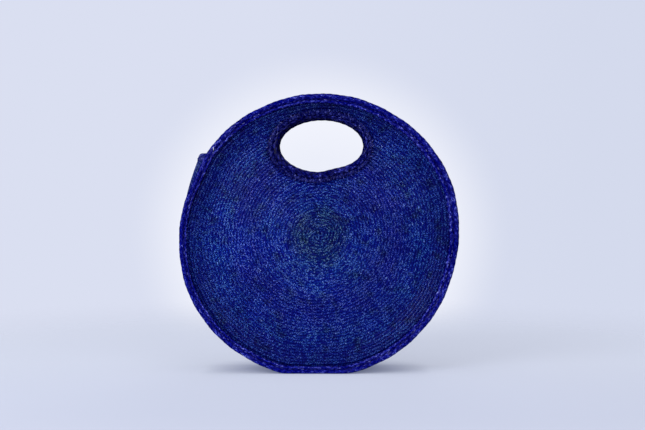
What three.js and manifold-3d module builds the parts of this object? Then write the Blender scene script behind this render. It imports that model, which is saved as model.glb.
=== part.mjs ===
// A round palm leaf bag that stands by itself: two spiral-sewn discs with a hand hole each,
// a gusset strip between them, and plaited strips folded over the rims and the hole edges.
// Millimetres, +Z up. X runs across the bag, the front faces -Y, and the origin lies under
// the middle of the flat that the bag stands on.
import * as THREE from "three";
import { mergeVertices } from "three/addons/utils/BufferGeometryUtils.js";
import Module from "manifold-3d";

const wasm = await Module();
wasm.setup();

// Driving dimensions of the discs
const discRadius = 165;
const baseFlat = 3.7;
const basePress = 0.5;
// The handmade outline: times round the disc, millimetres out and in, degrees of turn
const outOfRound = [[2, 2.07, 30], [4, 0.62, 35], [6, 0.4, 53]];
const palmThickness = 2.6;
const faceCrown = 2;
const rimRise = 3.5;
const riseWidth = 24;

// Driving dimensions of the gusset and the hems on its ends
const gussetWidth = 60;
const gussetThickness = 2.6;
const gussetSetback = 3;
const archHeight = 68;
const flareOut = 11.4;
const flareLength = 160;
const hemHeight = 9;
const hemThickness = 1.5;

// Driving dimensions of the rim bindings
const beadRadius = 3.8;
const bindingWidth = 10.5;
const legThickness = 1.9;
const stitchGroove = 0.8;

// Driving dimensions of the hand holes and their edgings
const holeWidth = 101;
const holeHeight = 62.4;
const holeAside = 2.7;
const holeDrop = 59.5;
const holeFlattening = 2.85;
const flattenedFrom = 256;
const flattenedTo = 350;
const lipThickness = 1.5;
const lipWidth = 5.2;
const borderWidth = 6.4;
const borderThickness = 1.4;
const borderDrift = new THREE.Vector2(-1.8, -3.8);

// How the handle arches bend, and the room that sewn pieces leave each other
const swingAngle = 26;
const swingMargin = 1.5;
const slit = 0.3;
const clearance = 0.3;
const bendAboveGusset = 1;

// Steps round the disc, round a hole and across the gusset
const discSteps = 60;
const holeSteps = 36;
const gussetSteps = 6;
const beadAngles = [128, 90, 55, 25];

// Places worked out from the sizes above
const radian = Math.PI / 180;
const discHeight = discRadius - baseFlat;
const gussetTop = discRadius - archHeight;
const holeRaise = discRadius - holeDrop;
const rimPlane = gussetWidth / 2 + clearance + beadRadius;
const riseEnd = discRadius - bindingWidth;
const riseStart = riseEnd - riseWidth;
const slotHalf = palmThickness / 2 + clearance;
const slotBottom = discRadius - beadRadius;
const faceRadius = slotBottom - clearance;
const bendHeight = gussetTop + bendAboveGusset;
const bendPlane = rimPlane - rimRise / 2;
const far = 4 * discRadius;

const FRONT = -1;
const BACK = 1;

// The handmade outline: a circle drawn out most towards the upper right and lower left, and
// pressed flat where the bag stands. The pull fades towards the middle of the disc.
function outline(angle) {
  let round = discRadius;
  for (const [times, size, turn] of outOfRound) {
    round += size * Math.sin(times * angle - turn * radian);
  }
  const down = Math.max(-Math.sin(angle), 0.01);
  return Math.min(round, (discHeight + basePress) / down);
}

// Moves a point of the ideal round bag to its place on the handmade one.
function settle(x, y, z) {
  const radius = Math.hypot(x, z);
  const pull = outline(Math.atan2(z, x)) / discRadius - 1;
  const scale = 1 + pull * (radius / discRadius) ** 2;
  const height = Math.max(z * scale, -discHeight);
  return new THREE.Vector3(x * scale, y, height + discHeight);
}

// How far the middle of a face's sheet lies from the middle of the bag, at a radius.
function sheetPlane(radius) {
  const crown = faceCrown * Math.max(0, 1 - (radius / riseStart) ** 2);
  const rise = THREE.MathUtils.smoothstep(radius, riseStart, riseEnd);
  return rimPlane - rimRise * (1 - rise) + crown;
}

// A closed mesh as a solid, turned so that its faces point out.
function solidOf(positions, triangles) {
  let volume = 0;
  const corner = [new THREE.Vector3(), new THREE.Vector3(), new THREE.Vector3()];
  for (let i = 0; i < triangles.length; i += 3) {
    corner.forEach((point, k) => point.fromArray(positions, 3 * triangles[i + k]));
    volume += corner[0].dot(corner[1].cross(corner[2]));
  }
  if (volume < 0) {
    triangles.reverse();
  }
  const mesh = new wasm.Mesh({
    numProp: 3,
    vertProperties: new Float32Array(positions),
    triVerts: new Uint32Array(triangles),
  });
  return new wasm.Manifold(mesh);
}

// A ring whose cross-section is given as a loop of points at each step round it.
function ringOf(loops) {
  const size = loops[0].length;
  const positions = loops.flat().flatMap((point) => point.toArray());
  const triangles = [];
  for (let i = 0; i < loops.length; i += 1) {
    const here = i * size;
    const next = ((i + 1) % loops.length) * size;
    for (let k = 0; k < size; k += 1) {
      const after = (k + 1) % size;
      triangles.push(here + k, next + k, next + after);
      triangles.push(here + k, next + after, here + after);
    }
  }
  return solidOf(positions, triangles);
}

// A three.js geometry as a solid, with its doubled vertices merged.
function solidFromGeometry(geometry) {
  geometry.deleteAttribute("normal");
  geometry.deleteAttribute("uv");
  const merged = mergeVertices(geometry, 1e-4);
  const index = Array.from(merged.index.array);
  const triangles = [];
  for (let i = 0; i < index.length; i += 3) {
    const [a, b, c] = index.slice(i, i + 3);
    if (a !== b && b !== c && c !== a) {
      triangles.push(a, b, c);
    }
  }
  return solidOf(Array.from(merged.attributes.position.array), triangles);
}

function boxBetween(low, high) {
  const size = new THREE.Vector3().subVectors(high, low);
  const middle = new THREE.Vector3().addVectors(low, high).multiplyScalar(0.5);
  const geometry = new THREE.BoxGeometry(size.x, size.y, size.z);
  return solidFromGeometry(geometry.translate(middle.x, middle.y, middle.z));
}

// A slab right across the bag between two heights over the middle of the disc.
function slabBetween(low, high) {
  const from = new THREE.Vector3(-far, -far, discHeight + low);
  const to = new THREE.Vector3(far, far, discHeight + high);
  return boxBetween(from, to);
}

// A ring round the disc's axis with a section of (radius, distance along Y) points.
function hoopOf(section, bulge = () => 0) {
  const loops = [];
  for (let i = 0; i < discSteps; i += 1) {
    const angle = (2 * Math.PI * i) / discSteps;
    loops.push(section.map((point) => {
      const radius = point.x + bulge(angle, point.y);
      return settle(radius * Math.cos(angle), point.y, radius * Math.sin(angle));
    }));
  }
  return ringOf(loops);
}

// One disc's sheet: its profile runs out along the outer side and back along the inner one.
function sheetSolid(side) {
  const middleRadii = [0, 0.4, 0.75, 1].map((share) => share * riseStart);
  const riseRadii = [0.25, 0.5, 0.75, 1].map((share) => riseStart + share * riseWidth);
  const radii = [...middleRadii, ...riseRadii, faceRadius];
  const half = palmThickness / 2;
  const outer = radii.map((r) => new THREE.Vector2(r, side * (sheetPlane(r) + half)));
  const inner = radii.map((r) => new THREE.Vector2(r, side * (sheetPlane(r) - half)));
  const geometry = new THREE.LatheGeometry([...outer, ...inner.reverse()], discSteps, Math.PI / 2);
  const places = geometry.attributes.position;
  for (let i = 0; i < places.count; i += 1) {
    const point = settle(places.getX(i), places.getY(i), places.getZ(i));
    places.setXYZ(i, point.x, point.y, point.z);
  }
  return solidFromGeometry(geometry);
}

// The rim binding's section: a bead round the disc's edge, a stitched groove, and two legs
// that hold the sheet between them.
function bindingSection(side) {
  const legTop = slotHalf + legThickness;
  const legEnd = discRadius - bindingWidth;
  const beadStart = discRadius - beadRadius;
  const legSpan = bindingWidth - 2 * beadRadius;
  const half = [
    new THREE.Vector2(legEnd, slotHalf),
    new THREE.Vector2(legEnd, legTop - stitchGroove),
    new THREE.Vector2(legEnd + legSpan / 2, legTop),
    new THREE.Vector2(legEnd + legSpan, legTop - stitchGroove),
  ];
  for (const angle of beadAngles) {
    const out = beadStart + beadRadius * Math.cos(angle * radian);
    half.push(new THREE.Vector2(out, beadRadius * Math.sin(angle * radian)));
  }
  const mirrored = half.map((point) => new THREE.Vector2(point.x, -point.y)).reverse();
  const slot = [new THREE.Vector2(slotBottom, -slotHalf), new THREE.Vector2(slotBottom, slotHalf)];
  const section = [...half, ...mirrored, ...slot];
  return section.map((point) => new THREE.Vector2(point.x, side * (rimPlane + point.y)));
}

// The gusset bows outwards at its left end, where it is free of the faces' pull.
function gussetBow(angle, y) {
  const endAngle = Math.PI - Math.asin(gussetTop / discRadius);
  const span = flareLength / discRadius;
  const share = THREE.MathUtils.clamp((endAngle + span - angle) / span, 0, 1);
  const across = 1 - Math.min(1, Math.abs((2 * y) / gussetWidth)) ** 2;
  const nearEnd = angle > Math.PI / 2 ? 1 : 0;
  return flareOut * share ** 2 * across * nearEnd;
}

// A strip that follows the gusset, grown by a margin on both sides.
function gussetStrip(margin) {
  const outer = discRadius - gussetSetback + margin;
  const inner = discRadius - gussetSetback - gussetThickness - margin;
  const section = [];
  for (let i = 0; i <= gussetSteps; i += 1) {
    section.push(new THREE.Vector2(outer, gussetWidth * (i / gussetSteps - 0.5)));
  }
  for (let i = gussetSteps; i >= 0; i -= 1) {
    section.push(new THREE.Vector2(inner, gussetWidth * (i / gussetSteps - 0.5)));
  }
  return hoopOf(section, gussetBow);
}

// A point of the hand hole's outline: an oval whose lower right side is pulled flatter.
function holePoint(angle) {
  const across = holeWidth / 2;
  const up = holeHeight / 2;
  const oval = 1 / Math.hypot(Math.cos(angle) / across, Math.sin(angle) / up);
  const turn = (angle / radian + 360) % 360;
  const share = (turn - flattenedFrom) / (flattenedTo - flattenedFrom);
  const within = THREE.MathUtils.clamp(share, 0, 1);
  const flat = holeFlattening * Math.sin(within * Math.PI) ** 2;
  const radius = oval - flat;
  return new THREE.Vector2(
    holeAside + radius * Math.cos(angle),
    holeRaise + radius * Math.sin(angle),
  );
}

// The same outline, moved outwards by a distance.
function holeOffset(angle, distance) {
  const step = 0.01;
  const along = holePoint(angle + step).sub(holePoint(angle - step)).normalize();
  return holePoint(angle).add(new THREE.Vector2(along.y, -along.x).multiplyScalar(distance));
}

function holeAngles() {
  return Array.from({ length: holeSteps }, (unused, i) => (2 * Math.PI * i) / holeSteps);
}

// A point that lies on a face's sheet at (x, z), a height out from its middle.
function onSheet(place, height, side) {
  const plane = sheetPlane(place.length());
  return settle(place.x, side * (plane + height), place.y);
}

// What is cut out of a sheet for the hand hole: the lip's bead fills the rest of the cut.
function holeCutter() {
  const points = holeAngles().map((angle) => {
    const place = holeOffset(angle, lipThickness + clearance);
    const settled = settle(place.x, 0, place.y);
    return new THREE.Vector2(settled.x, settled.z);
  });
  const geometry = new THREE.ExtrudeGeometry(new THREE.Shape(points), {
    depth: 2 * far,
    bevelEnabled: false,
  });
  geometry.rotateX(Math.PI / 2);
  return solidFromGeometry(geometry.translate(0, far, 0));
}

// The lip is folded over the cut edge, with a leg on each side of the sheet.
function lipSolid(side) {
  const top = slotHalf + lipThickness;
  const half = [
    [lipWidth, slotHalf],
    [lipWidth, top - lipThickness / 3],
    [lipWidth - lipThickness / 2, top],
    [lipThickness, top],
    [lipThickness / 4, slotHalf],
  ];
  const mirrored = half.map(([out, height]) => [out, -height]).reverse();
  const section = [...half, [0, 0], ...mirrored];
  section.push([lipThickness, -slotHalf], [lipThickness, slotHalf]);
  const loops = holeAngles().map((angle) => section.map(([out, height]) =>
    onSheet(holeOffset(angle, out), height, side)));
  return ringOf(loops);
}

// The border is a flat row round the lip, on the outer side of the face only. It is widest
// at the lower left.
function borderSolid(side) {
  const section = [[0, 0], [0, 0.8], [0.15, 1], [0.85, 1], [1, 0.5], [1, 0]];
  const loops = holeAngles().map((angle) => {
    const inner = holeOffset(angle, lipWidth + clearance);
    const outer = holeOffset(angle, lipWidth + borderWidth).add(borderDrift);
    return section.map(([across, high]) => {
      const place = inner.clone().lerp(outer, across);
      return onSheet(place, slotHalf + high * borderThickness, side);
    });
  });
  return ringOf(loops);
}

// Everything below the bend line belongs to the bag's body.
function belowBend(solid) {
  return solid.intersect(slabBetween(-far, bendHeight - slit / 2));
}

// Everything above it swings with the handle. Its lower end is cut like a blunt knife edge,
// which leaves the room that it needs to swing both ways.
function aboveBend(solid, side) {
  const climb = far * Math.tan((swingAngle + swingMargin) * radian);
  const low = discHeight + bendHeight + slit / 2;
  const shape = new THREE.Shape([
    new THREE.Vector2(side * bendPlane, low),
    new THREE.Vector2(side * bendPlane + far, low + climb),
    new THREE.Vector2(side * bendPlane + far, low + 2 * far),
    new THREE.Vector2(side * bendPlane - far, low + 2 * far),
    new THREE.Vector2(side * bendPlane - far, low + climb),
  ]);
  const geometry = new THREE.ExtrudeGeometry(shape, { depth: 2 * far, bevelEnabled: false });
  geometry.rotateX(Math.PI / 2).rotateZ(Math.PI / 2);
  return solid.intersect(solidFromGeometry(geometry.translate(-far, 0, 0)));
}

const bag = new THREE.Group();

function addPiece(name, solid, material) {
  const mesh = solid.getMesh();
  const geometry = new THREE.BufferGeometry();
  geometry.setAttribute("position", new THREE.BufferAttribute(mesh.vertProperties, 3));
  geometry.setIndex(new THREE.BufferAttribute(mesh.triVerts, 1));
  geometry.computeVertexNormals();
  const piece = new THREE.Mesh(geometry, material.clone());
  piece.name = name;
  bag.add(piece);
}

function dyedPalm(color, roughness) {
  return new THREE.MeshStandardMaterial({ color, roughness, metalness: 0 });
}

const rowPalm = dyedPalm(0x1a2a75, 0.6);
const rimPalm = dyedPalm(0x1a1f7c, 0.5);
const edgePalm = dyedPalm(0x211f66, 0.5);
const stripPalm = dyedPalm(0x24327a, 0.6);

// The discs with their bindings and edgings, front and back
const cutter = holeCutter();
for (const [label, side] of [["front", FRONT], ["back", BACK]]) {
  const sheet = sheetSolid(side).subtract(cutter);
  const binding = hoopOf(bindingSection(side));
  const lip = lipSolid(side);
  const border = borderSolid(side);
  addPiece(`${label}_face`, belowBend(sheet), rowPalm);
  addPiece(`${label}_handle_arch`, aboveBend(sheet, side), rowPalm);
  addPiece(`${label}_rim_binding`, belowBend(binding), rimPalm);
  addPiece(`${label}_handle_rim_binding`, aboveBend(binding, side), rimPalm);
  addPiece(`${label}_hole_lip`, belowBend(lip), edgePalm);
  addPiece(`${label}_handle_hole_lip`, aboveBend(lip, side), edgePalm);
  addPiece(`${label}_hole_border`, belowBend(border), edgePalm);
  addPiece(`${label}_handle_hole_border`, aboveBend(border, side), edgePalm);
}

// The gusset, and the hems folded over its two ends
const stripTop = gussetTop - hemThickness - clearance;
const strip = gussetStrip(0).intersect(slabBetween(-far, stripTop));
addPiece("gusset", strip, stripPalm);

const hemBand = gussetStrip(clearance + hemThickness);
const hemRoom = gussetStrip(clearance).intersect(slabBetween(-far, stripTop + clearance));
const hems = hemBand.intersect(slabBetween(gussetTop - hemHeight, gussetTop)).subtract(hemRoom);
const leftHalf = boxBetween(new THREE.Vector3(-far, -far, 0), new THREE.Vector3(0, far, far));
addPiece("gusset_hem_left", hems.intersect(leftHalf), edgePalm);
addPiece("gusset_hem_right", hems.subtract(leftHalf), edgePalm);

export default bag;
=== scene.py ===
# %% [markdown]
# # A round bag of dyed palm leaf
# The bag is two discs of narrow palm braid, each sewn in a spiral, with a gusset strip between
# them. Wider plaits are folded over the rims, the hand holes and the gusset's ends. The
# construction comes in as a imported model. This script gives it its looks: every braid row,
# every leaf strand and every stitch is modelled on top of the sizes below.

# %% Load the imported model
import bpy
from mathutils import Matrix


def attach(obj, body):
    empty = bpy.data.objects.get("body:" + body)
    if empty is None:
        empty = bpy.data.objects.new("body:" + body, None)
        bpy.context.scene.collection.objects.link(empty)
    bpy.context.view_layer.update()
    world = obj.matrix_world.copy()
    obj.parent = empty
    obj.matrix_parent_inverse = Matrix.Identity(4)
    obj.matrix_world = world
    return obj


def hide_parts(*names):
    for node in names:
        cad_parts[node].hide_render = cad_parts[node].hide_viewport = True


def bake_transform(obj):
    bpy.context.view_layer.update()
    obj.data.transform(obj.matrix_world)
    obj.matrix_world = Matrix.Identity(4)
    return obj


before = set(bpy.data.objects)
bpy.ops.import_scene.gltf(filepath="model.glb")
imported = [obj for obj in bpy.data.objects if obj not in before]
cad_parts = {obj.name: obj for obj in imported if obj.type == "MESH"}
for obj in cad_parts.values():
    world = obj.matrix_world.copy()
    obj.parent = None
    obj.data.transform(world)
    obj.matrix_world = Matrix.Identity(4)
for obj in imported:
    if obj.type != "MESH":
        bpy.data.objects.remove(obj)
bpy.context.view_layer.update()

# %% [markdown]
# ## Sizes
# All sizes are in millimetres times MM, because Blender works in metres. They are the sizes of
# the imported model, so a piece made here lies where its plain solid lies. They could be measured
# on its solids, but named numbers show what each piece is built from.

# %% Sizes of the discs, the gusset and the bindings
import math
from functools import partial

import bpy
import numpy as np

MM = 0.001
DISC_RADIUS = 165 * MM
BASE_FLAT = 3.7 * MM
BASE_PRESS = 0.5 * MM
OUT_OF_ROUND = [(2, 2.07 * MM, 30), (4, 0.62 * MM, 35), (6, 0.4 * MM, 53)]
PALM_THICKNESS = 2.6 * MM
FACE_CROWN = 2 * MM
RIM_RISE = 3.5 * MM
RISE_WIDTH = 24 * MM
GUSSET_WIDTH = 60 * MM
GUSSET_THICKNESS = 2.6 * MM
GUSSET_SETBACK = 3 * MM
ARCH_HEIGHT = 68 * MM
FLARE_OUT = 11.4 * MM
FLARE_LENGTH = 160 * MM
HEM_HEIGHT = 9 * MM
HEM_THICKNESS = 1.5 * MM
BEAD_RADIUS = 3.8 * MM
BINDING_WIDTH = 10.5 * MM
LEG_THICKNESS = 1.9 * MM
CLEARANCE = 0.3 * MM

DISC_HEIGHT = DISC_RADIUS - BASE_FLAT
GUSSET_TOP = DISC_RADIUS - ARCH_HEIGHT
RIM_PLANE = GUSSET_WIDTH / 2 + CLEARANCE + BEAD_RADIUS
RISE_END = DISC_RADIUS - BINDING_WIDTH
RISE_START = RISE_END - RISE_WIDTH
FRONT, BACK = -1, 1
SIDES = {FRONT: "front", BACK: "back"}
print("disc", 2 * DISC_RADIUS, "m across, rims", 2 * RIM_PLANE, "m apart")

# %% Sizes of the hand holes
HOLE_WIDTH = 101 * MM
HOLE_HEIGHT = 62.4 * MM
HOLE_ASIDE = 2.7 * MM
HOLE_RAISE = DISC_RADIUS - 59.5 * MM
HOLE_FLATTENING = 2.85 * MM
FLATTENED_FROM, FLATTENED_TO = math.radians(256), math.radians(350)
LIP_WIDTH = 5.2 * MM
LIP_THICKNESS = 1.5 * MM
BORDER_WIDTH = 6.4 * MM
BORDER_DRIFT = np.array([-1.5, -1.8]) * MM
LIP_DRIFT = np.array([-0.6, -1.7]) * MM
print("hand hole", HOLE_WIDTH, "by", HOLE_HEIGHT, "m")

# %% [markdown]
# ## The handmade shape
# Nothing on the bag is quite round or flat. The outline is drawn out most towards the upper
# right and lower left, it is dented where the gusset's free end pulls on it and pressed flat
# where the bag stands, and the discs are not dead plane. A lattice round the finished bag could
# do this. Here one function does it to every point, so that neighbours stay fitted to each
# other and each size stays a number that can be read.

# %% Two soft curves
def smoothstep(x, low, high):
    share = np.clip((x - low) / (high - low), 0, 1)
    return share * share * (3 - 2 * share)


def bell(x, middle, width):
    """1 at the middle, fading on both sides over the width."""
    return np.exp(-((x - middle) / width) ** 2)


# %% The disc's outline
FLOOR_SOFTNESS = 0.8 * MM
DENT = 3.2 * MM
DENT_ANGLE, DENT_SPAN = math.radians(154), math.radians(9)


def dent(angle):
    """How far the rims are drawn in where the gusset's free end pulls on them."""
    return DENT * bell(angle, DENT_ANGLE, DENT_SPAN)


def outline(angle):
    strays = [size * np.sin(times * angle - math.radians(turn)) for times, size, turn in OUT_OF_ROUND]
    round_rim = DISC_RADIUS + sum(strays) - dent(angle)
    pressed_rim = (DISC_HEIGHT + BASE_PRESS) / np.maximum(-np.sin(angle), 0.01)
    return -FLOOR_SOFTNESS * np.logaddexp(-round_rim / FLOOR_SOFTNESS, -pressed_rim / FLOOR_SOFTNESS)


widths = outline(np.radians([0, 90])) + outline(np.radians([180, 270]))
print("the outline is", (widths / MM).round(1), "mm wide and high")

# %% From the ideal bag to the handmade one
WOBBLE = 0.7 * MM


def settle(x, y, z):
    """Points given from the disc's middle, moved to their places on the handmade bag."""
    radius = np.hypot(x, z)
    pull = outline(np.arctan2(z, x)) / DISC_RADIUS - 1
    scale = 1 + pull * (radius / DISC_RADIUS) ** 2
    above = (z * scale + DISC_HEIGHT) / FLOOR_SOFTNESS
    height = FLOOR_SOFTNESS * np.logaddexp(0, above) - DISC_HEIGHT
    waves = np.sin(x / (46 * MM) + 1.3) * np.cos(z / (58 * MM))
    waves = waves + 0.6 * np.sin(z / (31 * MM) + x / (80 * MM))
    y = y + WOBBLE * waves * y / RIM_PLANE * (1 - (radius / DISC_RADIUS) ** 4)
    return np.stack(np.broadcast_arrays(x * scale, y, height + DISC_HEIGHT), axis=-1)


# %% Where the sheet and its hole lie
def sheet_plane(radius):
    """How far the middle of a face's sheet lies from the middle of the bag."""
    crown = FACE_CROWN * np.maximum(0, 1 - (radius / RISE_START) ** 2)
    return RIM_PLANE - RIM_RISE * (1 - smoothstep(radius, RISE_START, RISE_END)) + crown


def hole_point(angle):
    """The hand hole's outline: an oval whose lower right side is pulled flatter."""
    oval = 1 / np.hypot(np.cos(angle) / (HOLE_WIDTH / 2), np.sin(angle) / (HOLE_HEIGHT / 2))
    share = (np.mod(angle, 2 * np.pi) - FLATTENED_FROM) / (FLATTENED_TO - FLATTENED_FROM)
    flat = HOLE_FLATTENING * np.sin(np.pi * np.clip(share, 0, 1)) ** 2
    radius = oval - flat
    return HOLE_ASIDE + radius * np.cos(angle), HOLE_RAISE + radius * np.sin(angle)


def beyond_hole(x, z):
    """How far points lie outside the hole's outline, seen from its middle."""
    angle = np.arctan2(z - HOLE_RAISE, x - HOLE_ASIDE)
    edge_x, edge_z = hole_point(angle)
    edge = np.hypot(edge_x - HOLE_ASIDE, edge_z - HOLE_RAISE)
    return np.hypot(x - HOLE_ASIDE, z - HOLE_RAISE) - edge


def edging_shade(x, z):
    """The shade where a face meets its rim binding and its hole border."""
    rim = bell(np.hypot(x, z), RISE_END, 2 * MM)
    beyond = beyond_hole(x - BORDER_DRIFT[0], z - BORDER_DRIFT[1]) - LIP_WIDTH - BORDER_WIDTH
    return 0.5 * np.maximum(rim, bell(beyond, 1 * MM, 1.5 * MM))


# %% [markdown]
# ## Meshes from arrays
# Most pieces have tens of thousands of small faces. Making them one at a time would be slow, so
# the points come from formulas on whole arrays, and one function turns arrays into a mesh. Every
# piece carries a UV map that follows its strands. The finishes are drawn on that map, so they
# bend with the palm.

# %% A mesh from points, triangles and maps
def surface_mesh(name, points, triangles, maps, depth):
    """Makes a smooth mesh object. maps holds, by name, two numbers for each triangle corner,
    and depth says how deep in shade each point lies."""
    mesh = bpy.data.meshes.new(name)
    mesh.vertices.add(len(points))
    mesh.vertices.foreach_set("co", np.asarray(points, dtype=np.float32).ravel())
    mesh.loops.add(triangles.size)
    mesh.loops.foreach_set("vertex_index", triangles.astype(np.int32).ravel())
    mesh.polygons.add(len(triangles))
    mesh.polygons.foreach_set("loop_start", np.arange(0, triangles.size, 3, dtype=np.int32))
    for map_name, corners in maps.items():
        layer = mesh.uv_layers.new(name=map_name)
        layer.uv.foreach_set("vector", np.asarray(corners, dtype=np.float32).ravel())
    layer = mesh.attributes.new("depth", "FLOAT", "POINT")
    layer.data.foreach_set("value", np.asarray(depth, dtype=np.float32))
    mesh.update(calc_edges=True)
    mesh.validate()
    mesh.shade_smooth()
    piece = bpy.data.objects.new(name, mesh)
    bpy.context.scene.collection.objects.link(piece)
    print(name, "has", len(triangles), "triangles")
    return piece


def grid_triangles(rows, columns):
    """Corner indices of the two triangles of each cell in a grid of points."""
    corner = (np.arange(rows - 1)[:, None] * columns + np.arange(columns - 1)).ravel()
    lower = np.stack([corner, corner + 1, corner + columns + 1], axis=1)
    upper = np.stack([corner, corner + columns + 1, corner + columns], axis=1)
    return np.concatenate([lower, upper])


def corner_map(triangles, *values):
    """What the points hold, as one row of numbers for each triangle corner."""
    columns = [part.ravel() for part in np.broadcast_arrays(*values)]
    return np.stack(columns, axis=-1)[triangles]


def joined(parts):
    """Several (points, triangles, corner maps, depth) parts as one."""
    points, triangles, *others = zip(*parts)
    offsets = np.cumsum([0] + [len(part) for part in points[:-1]])
    triangles = [part + offset for part, offset in zip(triangles, offsets)]
    return [np.concatenate(arrays) for arrays in (points, triangles, *others)]


# %% [markdown]
# ## The spiral-sewn faces
# A face is one long braid, 3.5 mm wide, that starts at the middle and is sewn to itself turn by
# turn. It could be a bump on a flat disc, but the rows catch the light at the rim and at the
# hole, so they are real ridges: four threads of points run along the spiral, one in the valley
# and three over the ridge, and the strands that cross there lift the points in turn.

# %% Ridges of a braid row
ROW_PITCH = 3.5 * MM
STRAND_REPEAT = 2.1 * MM
ROW_RIDGE = 0.6 * MM
ROW_LUMP = 0.16 * MM
ROW_SUNK = 0.3 * MM


def row_height(run, across):
    """Height of a braid row: run counts strand repeats along it, across goes from 0 to 1."""
    ridge = ROW_RIDGE * np.sin(np.pi * across) ** 0.8
    lump = np.cos(2 * np.pi * run + np.pi * (across > 0.5)) * (across > 0) * (across != 0.5)
    return ridge + ROW_LUMP * lump - ROW_SUNK


# %% The spiral's points and triangles
def spiral(step, threads, start, end):
    """A flat spiral row between two radii, as angle, radius, run and across for each point,
    with its triangles and the (run, across) of each triangle corner."""
    first_step = round(math.pi * start**2 / ROW_PITCH / step)
    last_step = round(math.pi * end**2 / ROW_PITCH / step)
    length = step * np.arange(first_step, last_step)
    angle = np.sqrt(4 * np.pi * length / ROW_PITCH)
    across = np.arange(threads) / threads
    run = length / STRAND_REPEAT
    radius = ROW_PITCH * (angle[:, None] / (2 * np.pi) + across)
    count = len(angle)
    index = np.arange(count * threads).reshape(count, threads)

    strip = grid_triangles(count, threads)
    strip_run = run[strip // threads]
    strip_across = across[strip % threads]

    outer_angle = angle - 2 * np.pi
    first = int(np.searchsorted(outer_angle, angle[0]))
    inner_middle = (angle[1:] + angle[:-1]) / 2
    outer_middle = (outer_angle[first + 1:] + outer_angle[first:-1]) / 2
    inner_middle = inner_middle[inner_middle < outer_middle[-1]]
    inner_at = np.arange(len(inner_middle))
    outer_at = first + np.searchsorted(outer_middle, inner_middle)
    toward_inner = [index[inner_at, -1], index[outer_at, 0], index[inner_at + 1, -1]]
    outer_step = first + np.arange(len(outer_middle))
    inner_of = np.searchsorted(inner_middle, outer_middle)
    toward_outer = [index[inner_of, -1], index[outer_step, 0], index[outer_step + 1, 0]]
    seam = np.concatenate([toward_inner, toward_outer], axis=1).T
    valley = seam % threads == 0
    seam_angle = angle[seam // threads] - 2 * np.pi * valley
    seam_run = ROW_PITCH * seam_angle**2 / (4 * np.pi) / STRAND_REPEAT
    seam_across = np.where(valley, 1.0, across[-1])

    triangles = np.concatenate([strip, seam])
    corners = [np.concatenate([strip_run, seam_run]), np.concatenate([strip_across, seam_across])]
    flat = {
        "angle": np.repeat(angle, threads),
        "radius": radius.ravel(),
        "run": np.repeat(run, threads),
        "across": np.tile(across, count),
    }
    return flat, triangles, np.stack(corners, axis=-1)


# %% The middle of the spiral
def hub_fan(flat, threads, centre):
    """Triangles from the middle point to the first turn, which close the spiral's start."""
    turn = flat["angle"] < flat["angle"][0] + 2 * np.pi
    inner = np.nonzero(turn & (flat["across"] == 0))[0]
    fan = np.stack([np.full(len(inner) - 1, centre), inner[:-1], inner[1:]], axis=1)
    start, last = threads - 1, inner[-1]
    closing = [[centre, last, start], [start, last, last + threads]]
    fan = np.concatenate([fan, closing])
    run = np.append(flat["run"], 0)[fan]
    run[:, 0] = run[:, 1]
    across = np.where(fan == centre, 0.5, 0.0)
    return fan, np.stack([run, across], axis=-1)


# %% One layer of a face
ROW_CENTRE = 1.8 * MM
FACE_EDGE = DISC_RADIUS - 7.5 * MM
UNDER_LIP = 2.6 * MM
ROW_STRAY = 0.7 * MM


def face_layer(side, outward, step, threads):
    """The outer (outward 1) or inner (outward -1) skin of a face."""
    flat, triangles, corners = spiral(step, threads, ROW_CENTRE, FACE_EDGE)
    x = flat["radius"] * np.cos(flat["angle"])
    z = flat["radius"] * np.sin(flat["angle"])
    x, z = x + ROW_STRAY * np.sin(z / (17 * MM) + side), z + ROW_STRAY * np.sin(x / (21 * MM))
    start = np.clip((flat["run"] - flat["run"][0]) / 2, 0, 1)
    height = row_height(flat["run"], flat["across"]) * start
    x, z, height = np.append(x, 0), np.append(z, 0), np.append(height, ROW_RIDGE / 2)
    hub, hub_corners = hub_fan(flat, threads, len(x) - 1)
    triangles = np.concatenate([triangles, hub])
    corners = np.concatenate([corners, hub_corners])

    middle_x, middle_z = x[triangles].mean(axis=1), z[triangles].mean(axis=1)
    keep = beyond_hole(middle_x, middle_z) > UNDER_LIP
    triangles, corners = triangles[keep], corners[keep]
    used, triangles = np.unique(triangles, return_inverse=True)
    triangles = triangles.reshape(-1, 3)
    x, z, height = x[used], z[used], height[used]
    lift = PALM_THICKNESS / 2 + height
    points = settle(x, side * (sheet_plane(np.hypot(x, z)) + outward * lift), z)
    if side * outward > 0:
        triangles, corners = triangles[:, ::-1], corners[:, ::-1]
    place = corner_map(triangles, x, z)
    depth = 1 - (height + ROW_SUNK) / (ROW_RIDGE + ROW_LUMP) + edging_shade(x, z)
    return points, triangles, corners, place, depth


# %% Both faces
def palm_face(name, side):
    """The outer skin is fine. The inner one is seldom seen, so it has fewer points."""
    layers = [face_layer(side, 1, STRAND_REPEAT / 2, 4), face_layer(side, -1, 1.5 * STRAND_REPEAT, 2)]
    points, triangles, rows, place, depth = joined(layers)
    return surface_mesh(name, points, triangles, {"rows": rows, "place": place}, depth)


faces = {side: palm_face(f"{word}_face_rows", side) for side, word in SIDES.items()}
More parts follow.
